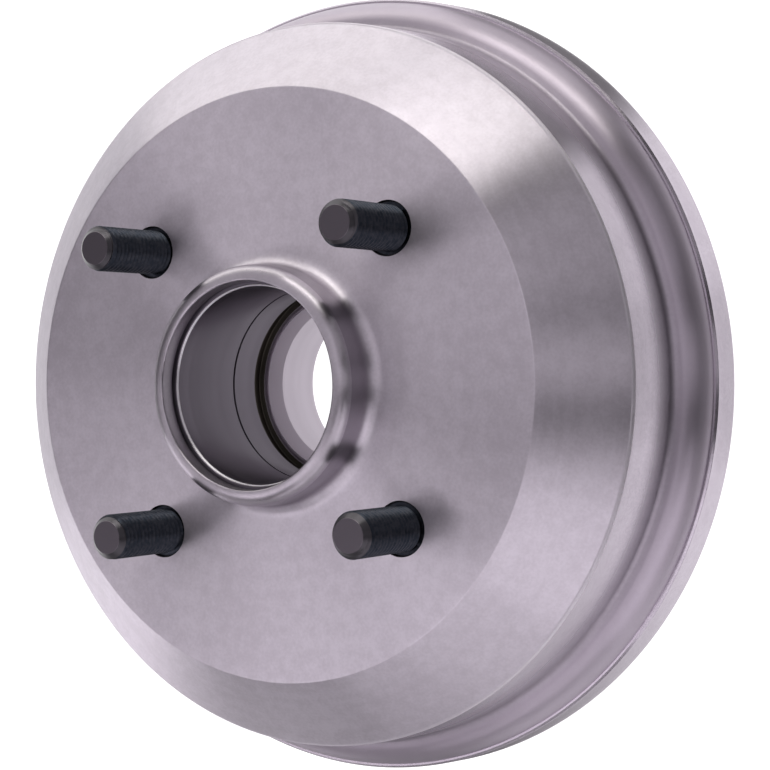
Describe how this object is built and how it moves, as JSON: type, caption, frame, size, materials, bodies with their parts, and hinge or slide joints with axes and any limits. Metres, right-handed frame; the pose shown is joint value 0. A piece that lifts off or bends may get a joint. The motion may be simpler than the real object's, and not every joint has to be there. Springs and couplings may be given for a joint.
{
  "type": "brake drum",
  "caption": "Cast iron rear brake drum with an integral wheel hub, a sloped shoulder, a wide open rim and pressed-in threaded wheel studs.",
  "frame": {"origin": "on the turning axis, in the plane of the drum's open edge", "axes": "+Z along the turning axis, from the open edge towards the wheel face and the studs; the studs stand on the diagonals between X and Y"},
  "size_m": [0.217, 0.217, 0.0775],
  "materials": {
    "iron": "turned bare metal, satin",
    "stud_steel": "black phosphate, matte"
  },
  "bodies": {
    "root": {"brake_drum": "iron", "wheel_stud_1": "stud_steel", "wheel_stud_2": "stud_steel", "wheel_stud_3": "stud_steel", "wheel_stud_4": "stud_steel"}
  },
  "joints": []
}
